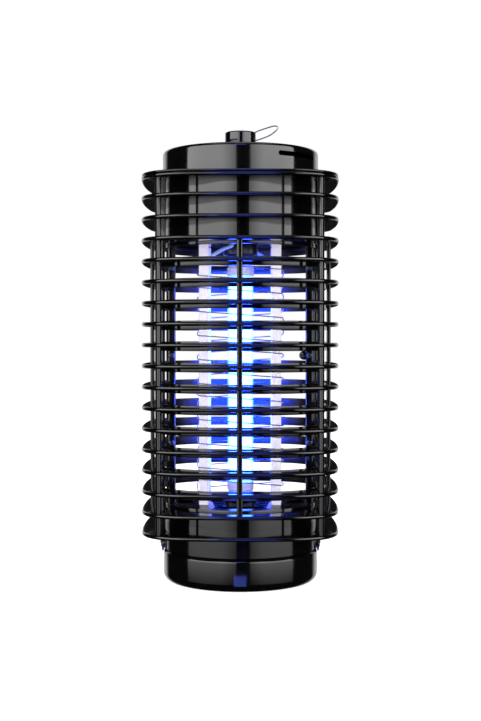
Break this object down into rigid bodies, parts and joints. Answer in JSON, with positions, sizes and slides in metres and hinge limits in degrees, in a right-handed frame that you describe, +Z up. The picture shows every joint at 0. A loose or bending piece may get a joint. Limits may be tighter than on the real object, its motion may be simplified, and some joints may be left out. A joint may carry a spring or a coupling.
{
  "type": "electric bug zapper",
  "caption": "Free-standing or hanging insect killer: a louvred guard round an ultraviolet tube and a wound-wire grid, with a hanging loop and a drop-out collection tray.",
  "frame": {"origin": "on the vertical axis, at the height of the surface that the lamp stands on", "axes": "+Z up; front towards -Y, with the cord inlet at the back, +Y; +X to the right, where the hanging loop leans"},
  "size_m": [0.106, 0.106, 0.2489],
  "materials": {
    "gloss_black": "polished moulded black plastic",
    "white_post": "satin moulded white plastic",
    "grid_wire": "drawn bright wire",
    "bright_steel": "bright zinc",
    "tube_cap_metal": "satin",
    "uv_glass": "frosted, glows violet-blue when lit",
    "lead_insulation": "white wire insulation",
    "black_rubber": "moulded rubber",
    "circuit_board": "solder resist",
    "transformer_tape": "winding tape",
    "capacitor_sleeve": "printed sleeve, left plain"
  },
  "bodies": {
    "root": {"cap_knob": "gloss_black", "ceiling_plate": "gloss_black", "cord_grommet": "black_rubber", "driver_board": "circuit_board", "floor_plate": "gloss_black", "front_bar": "gloss_black", "front_capacitor": "capacitor_sleeve", "front_grid_lead": "lead_insulation", "front_left_bar": "gloss_black", "front_left_post": "white_post", "front_right_bar": "gloss_black", "front_right_post": "white_post", "guard_ring_05": "gloss_black", "guard_ring_06": "gloss_black", "guard_ring_07": "gloss_black", "guard_ring_08": "gloss_black", "guard_ring_09": "gloss_black", "guard_ring_10": "gloss_black", "guard_ring_11": "gloss_black", "guard_ring_12": "gloss_black", "guard_ring_13": "gloss_black", "guard_ring_14": "gloss_black", "guard_ring_15": "gloss_black", "guard_ring_16": "gloss_black", "knob_nut": "bright_steel", "left_bar": "gloss_black", "left_bottom_screw": "bright_steel", "left_column": "gloss_black", "left_middle_screw": "bright_steel", "left_top_screw": "bright_steel", "live_grid_wire": "grid_wire", "loop_pin": "bright_steel", "lower_lamp_holder": "gloss_black", "lower_shell": "gloss_black", "lower_tube_cap": "tube_cap_metal", "rear_bar": "gloss_black", "rear_capacitor": "capacitor_sleeve", "rear_grid_lead": "lead_insulation", "rear_left_bar": "gloss_black", "rear_left_post": "white_post", "rear_right_bar": "gloss_black", "rear_right_post": "white_post", "return_grid_wire": "grid_wire", "right_bar": "gloss_black", "right_bottom_screw": "bright_steel", "right_column": "gloss_black", "right_middle_screw": "bright_steel", "right_top_screw": "bright_steel", "top_cap": "gloss_black", "transformer": "transformer_tape", "upper_lamp_holder": "gloss_black", "upper_shell": "gloss_black", "upper_tube_cap": "tube_cap_metal", "uv_tube": "uv_glass"},
    "loop": {"hanging_loop": "bright_steel"},
    "lock": {"tray_lock_ring": "gloss_black"},
    "tray": {"collection_tray": "gloss_black"}
  },
  "joints": [
    {"name": "loop_swing", "type": "hinge", "parent": "root", "child": "loop", "pos_m": [0.0054, 0, 0.2416], "axis": [0, -1, 0], "range_deg": [0, 66]},
    {"name": "tray_twist", "type": "hinge", "parent": "root", "child": "lock", "pos_m": [0, 0, 0.02], "axis": [0, 0, 1], "range_deg": [0, 30]},
    {"name": "tray_drop", "type": "slide", "parent": "lock", "child": "tray", "axis": [0, 0, 1], "range_m": [-0.045, 0]}
  ]
}
